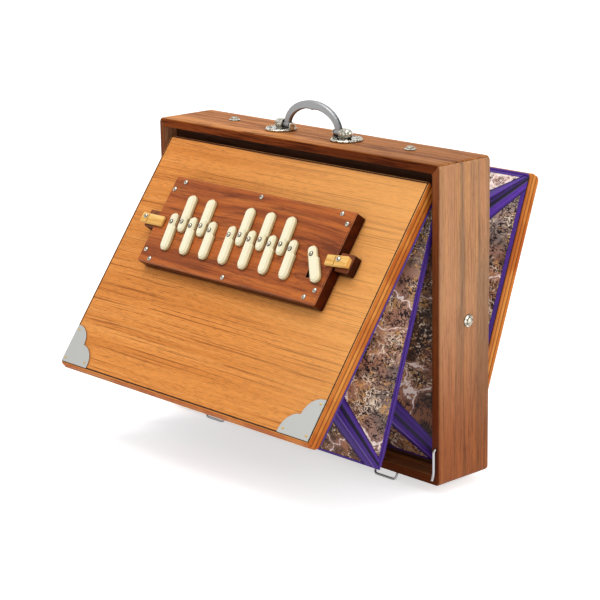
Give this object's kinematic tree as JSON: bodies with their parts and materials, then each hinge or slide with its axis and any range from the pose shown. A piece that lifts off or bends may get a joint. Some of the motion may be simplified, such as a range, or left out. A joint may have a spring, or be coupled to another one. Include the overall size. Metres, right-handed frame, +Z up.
{
  "type": "shruti box",
  "caption": "Suitcase-shaped bellows drone box: a front board with small turning keys hangs open, a plain rear board leans back, marbled pleats between, handle on top.",
  "frame": {"origin": "middle of the underside of the wooden case, above the wire feet", "axes": "+X to the right as seen from the keyboard side, -Y out of the keyboard side, +Z up towards the handle"},
  "size_m": [0.4124, 0.3111, 0.3536],
  "materials": {
    "walnut": "satin",
    "dark_walnut": "satin",
    "teak": "satin",
    "rosewood": "polished",
    "yellow_wood": "satin",
    "inner_wood": "matte",
    "ivory": "gloss",
    "nickel": "polished",
    "steel": "satin",
    "marbled_paper": "satin",
    "purple_leather": "satin",
    "pale_leather": "matte"
  },
  "bodies": {
    "case": {"case_top": "walnut", "case_bottom": "walnut", "case_left": "walnut", "case_right": "walnut", "partition": "inner_wood", "front_hinge_rail": "inner_wood", "rear_hinge_rail": "inner_wood", "bellows_rail_left": "inner_wood", "bellows_rail_right": "inner_wood", "bellows_rail_bottom": "inner_wood", "partition_screw_top_left": "nickel", "partition_screw_top_right": "nickel", "partition_screw_left": "nickel", "partition_screw_right": "nickel", "foot_front_left": "steel", "foot_front_right": "steel", "foot_rear_left": "steel", "foot_rear_right": "steel", "handle_mount_left": "nickel", "handle_mount_right": "nickel", "front_pleat_inner": "marbled_paper", "rear_pleat": "marbled_paper", "front_spring_left": "steel", "front_spring_right": "steel", "rear_spring": "steel", "front_hinge_strip": "purple_leather", "rear_hinge_strip": "purple_leather"},
    "front_fold": {"fold_binding": "purple_leather", "front_pleat_outer": "marbled_paper"},
    "front_board": {"front_board": "teak", "keyboard_plate": "rosewood", "turn_block_left": "dark_walnut", "turn_block_right": "dark_walnut", "corner_plate_left": "nickel", "corner_plate_right": "nickel", "reed_board": "inner_wood"},
    "rear_board": {"rear_board": "teak"},
    "handle": {"handle": "nickel"},
    "key_01": {"key_01": "ivory"},
    "key_02": {"key_02": "ivory"},
    "key_03": {"key_03": "ivory"},
    "key_04": {"key_04": "ivory"},
    "key_05": {"key_05": "ivory"},
    "key_06": {"key_06": "ivory"},
    "key_07": {"key_07": "ivory"},
    "key_08": {"key_08": "ivory"},
    "key_09": {"key_09": "ivory"},
    "key_10": {"key_10": "ivory"},
    "key_11": {"key_11": "ivory"},
    "key_12": {"key_12": "ivory"},
    "key_13": {"key_13": "ivory"},
    "turn_button_left": {"turn_button_left": "yellow_wood"},
    "turn_button_right": {"turn_button_right": "yellow_wood"},
    "catch_front_left": {"catch_front_left": "steel"},
    "catch_front_right": {"catch_front_right": "steel"},
    "catch_rear_left": {"catch_rear_left": "steel"},
    "catch_rear_right": {"catch_rear_right": "steel"},
    "valve_flap_left": {"valve_flap_left": "pale_leather"},
    "valve_flap_right": {"valve_flap_right": "pale_leather"},
    "inlet_flap": {"inlet_flap": "pale_leather"}
  },
  "joints": [
    {"name": "front_fold_hinge", "type": "hinge", "parent": "case", "child": "front_fold", "pos_m": [0, -0.019, 0.2835], "axis": [1, 0, 0], "range_deg": [0, 18.45], "stiffness_Nm_per_rad": 2, "springref_deg": -45.84, "deforming": ["front_pleat_inner"]},
    {"name": "front_board_hinge", "type": "hinge", "parent": "front_fold", "child": "front_board", "pos_m": [0, -0.019, 0.2835], "axis": [1, 0, 0], "range_deg": [0, 17.65], "stiffness_Nm_per_rad": 2, "springref_deg": -45.84, "deforming": ["front_pleat_outer", "front_spring_left", "front_spring_right", "front_hinge_strip"]},
    {"name": "rear_board_hinge", "type": "hinge", "parent": "case", "child": "rear_board", "pos_m": [0, 0.019, 0.0265], "axis": [1, 0, 0], "range_deg": [0, 19.8], "stiffness_Nm_per_rad": 1, "springref_deg": -28.65, "deforming": ["rear_pleat", "rear_spring", "rear_hinge_strip"]},
    {"name": "handle_swing", "type": "hinge", "parent": "case", "child": "handle", "pos_m": [0, -0.002, 0.3166], "axis": [1, 0, 0], "range_deg": [-80, 80]},
    {"name": "key_01_pivot", "type": "hinge", "parent": "front_board", "child": "key_01", "pos_m": [-0.1011, -0.10008, 0.22085], "axis": [0, -0.808, 0.5892], "range_deg": [0, 24]},
    {"name": "key_02_pivot", "type": "hinge", "parent": "front_board", "child": "key_02", "pos_m": [-0.0864, -0.09873, 0.2227], "axis": [0, -0.808, 0.5892], "range_deg": [0, 24]},
    {"name": "key_03_pivot", "type": "hinge", "parent": "front_board", "child": "key_03", "pos_m": [-0.0717, -0.10008, 0.22085], "axis": [0, -0.808, 0.5892], "range_deg": [0, 24]},
    {"name": "key_04_pivot", "type": "hinge", "parent": "front_board", "child": "key_04", "pos_m": [-0.057, -0.09873, 0.2227], "axis": [0, -0.808, 0.5892], "range_deg": [0, 24]},
    {"name": "key_05_pivot", "type": "hinge", "parent": "front_board", "child": "key_05", "pos_m": [-0.0423, -0.10008, 0.22085], "axis": [0, -0.808, 0.5892], "range_deg": [0, 24]},
    {"name": "key_06_pivot", "type": "hinge", "parent": "front_board", "child": "key_06", "pos_m": [-0.0129, -0.10008, 0.22085], "axis": [0, -0.808, 0.5892], "range_deg": [0, 24]},
    {"name": "key_07_pivot", "type": "hinge", "parent": "front_board", "child": "key_07", "pos_m": [0.0018, -0.09873, 0.2227], "axis": [0, -0.808, 0.5892], "range_deg": [0, 24]},
    {"name": "key_08_pivot", "type": "hinge", "parent": "front_board", "child": "key_08", "pos_m": [0.0165, -0.10008, 0.22085], "axis": [0, -0.808, 0.5892], "range_deg": [0, 24]},
    {"name": "key_09_pivot", "type": "hinge", "parent": "front_board", "child": "key_09", "pos_m": [0.0312, -0.09873, 0.2227], "axis": [0, -0.808, 0.5892], "range_deg": [0, 24]},
    {"name": "key_10_pivot", "type": "hinge", "parent": "front_board", "child": "key_10", "pos_m": [0.0459, -0.10008, 0.22085], "axis": [0, -0.808, 0.5892], "range_deg": [0, 24]},
    {"name": "key_11_pivot", "type": "hinge", "parent": "front_board", "child": "key_11", "pos_m": [0.0606, -0.09873, 0.2227], "axis": [0, -0.808, 0.5892], "range_deg": [0, 24]},
    {"name": "key_12_pivot", "type": "hinge", "parent": "front_board", "child": "key_12", "pos_m": [0.0753, -0.10008, 0.22085], "axis": [0, -0.808, 0.5892], "range_deg": [0, 24]},
    {"name": "key_13_pivot", "type": "hinge", "parent": "front_board", "child": "key_13", "pos_m": [0.1047, -0.10008, 0.22085], "axis": [0, -0.808, 0.5892], "range_deg": [-28.3, 0]},
    {"name": "turn_button_left_pivot", "type": "hinge", "parent": "front_board", "child": "turn_button_left", "pos_m": [-0.1445, -0.10003, 0.22093], "axis": [0, -0.808, 0.5892], "range_deg": [-90, 90]},
    {"name": "turn_button_right_pivot", "type": "hinge", "parent": "front_board", "child": "turn_button_right", "pos_m": [0.1387, -0.09926, 0.22198], "axis": [0, -0.808, 0.5892], "range_deg": [-90, 90]},
    {"name": "catch_front_left_pivot", "type": "hinge", "parent": "case", "child": "catch_front_left", "pos_m": [-0.198, -0.0348, 0.0365], "axis": [0, -1, 0], "range_deg": [0, 90]},
    {"name": "catch_front_right_pivot", "type": "hinge", "parent": "case", "child": "catch_front_right", "pos_m": [0.198, -0.0348, 0.0365], "axis": [0, 1, 0], "range_deg": [0, 90]},
    {"name": "catch_rear_left_pivot", "type": "hinge", "parent": "case", "child": "catch_rear_left", "pos_m": [-0.11, 0.0348, 0.3055], "axis": [0, 1, 0], "range_deg": [0, 90]},
    {"name": "catch_rear_right_pivot", "type": "hinge", "parent": "case", "child": "catch_rear_right", "pos_m": [0.11, 0.0348, 0.3055], "axis": [0, -1, 0], "range_deg": [0, 90]},
    {"name": "valve_flap_left_bend", "type": "hinge", "parent": "case", "child": "valve_flap_left", "pos_m": [-0.09, -0.0003, 0.1285], "axis": [-1, 0, 0], "range_deg": [0, 15], "stiffness_Nm_per_rad": 0.01, "springref_deg": -1.72},
    {"name": "valve_flap_right_bend", "type": "hinge", "parent": "case", "child": "valve_flap_right", "pos_m": [0.09, -0.0003, 0.1285], "axis": [-1, 0, 0], "range_deg": [0, 15], "stiffness_Nm_per_rad": 0.01, "springref_deg": -1.72},
    {"name": "inlet_flap_bend", "type": "hinge", "parent": "rear_board", "child": "inlet_flap", "pos_m": [0, 0.04616, 0.10281], "axis": [-1, 0, 0], "range_deg": [0, 12], "stiffness_Nm_per_rad": 0.01, "springref_deg": -2.86}
  ],
  "couplings": [
    {"joint": "front_board_hinge", "follows": "front_fold_hinge", "ratio": 0.9566}
  ]
}
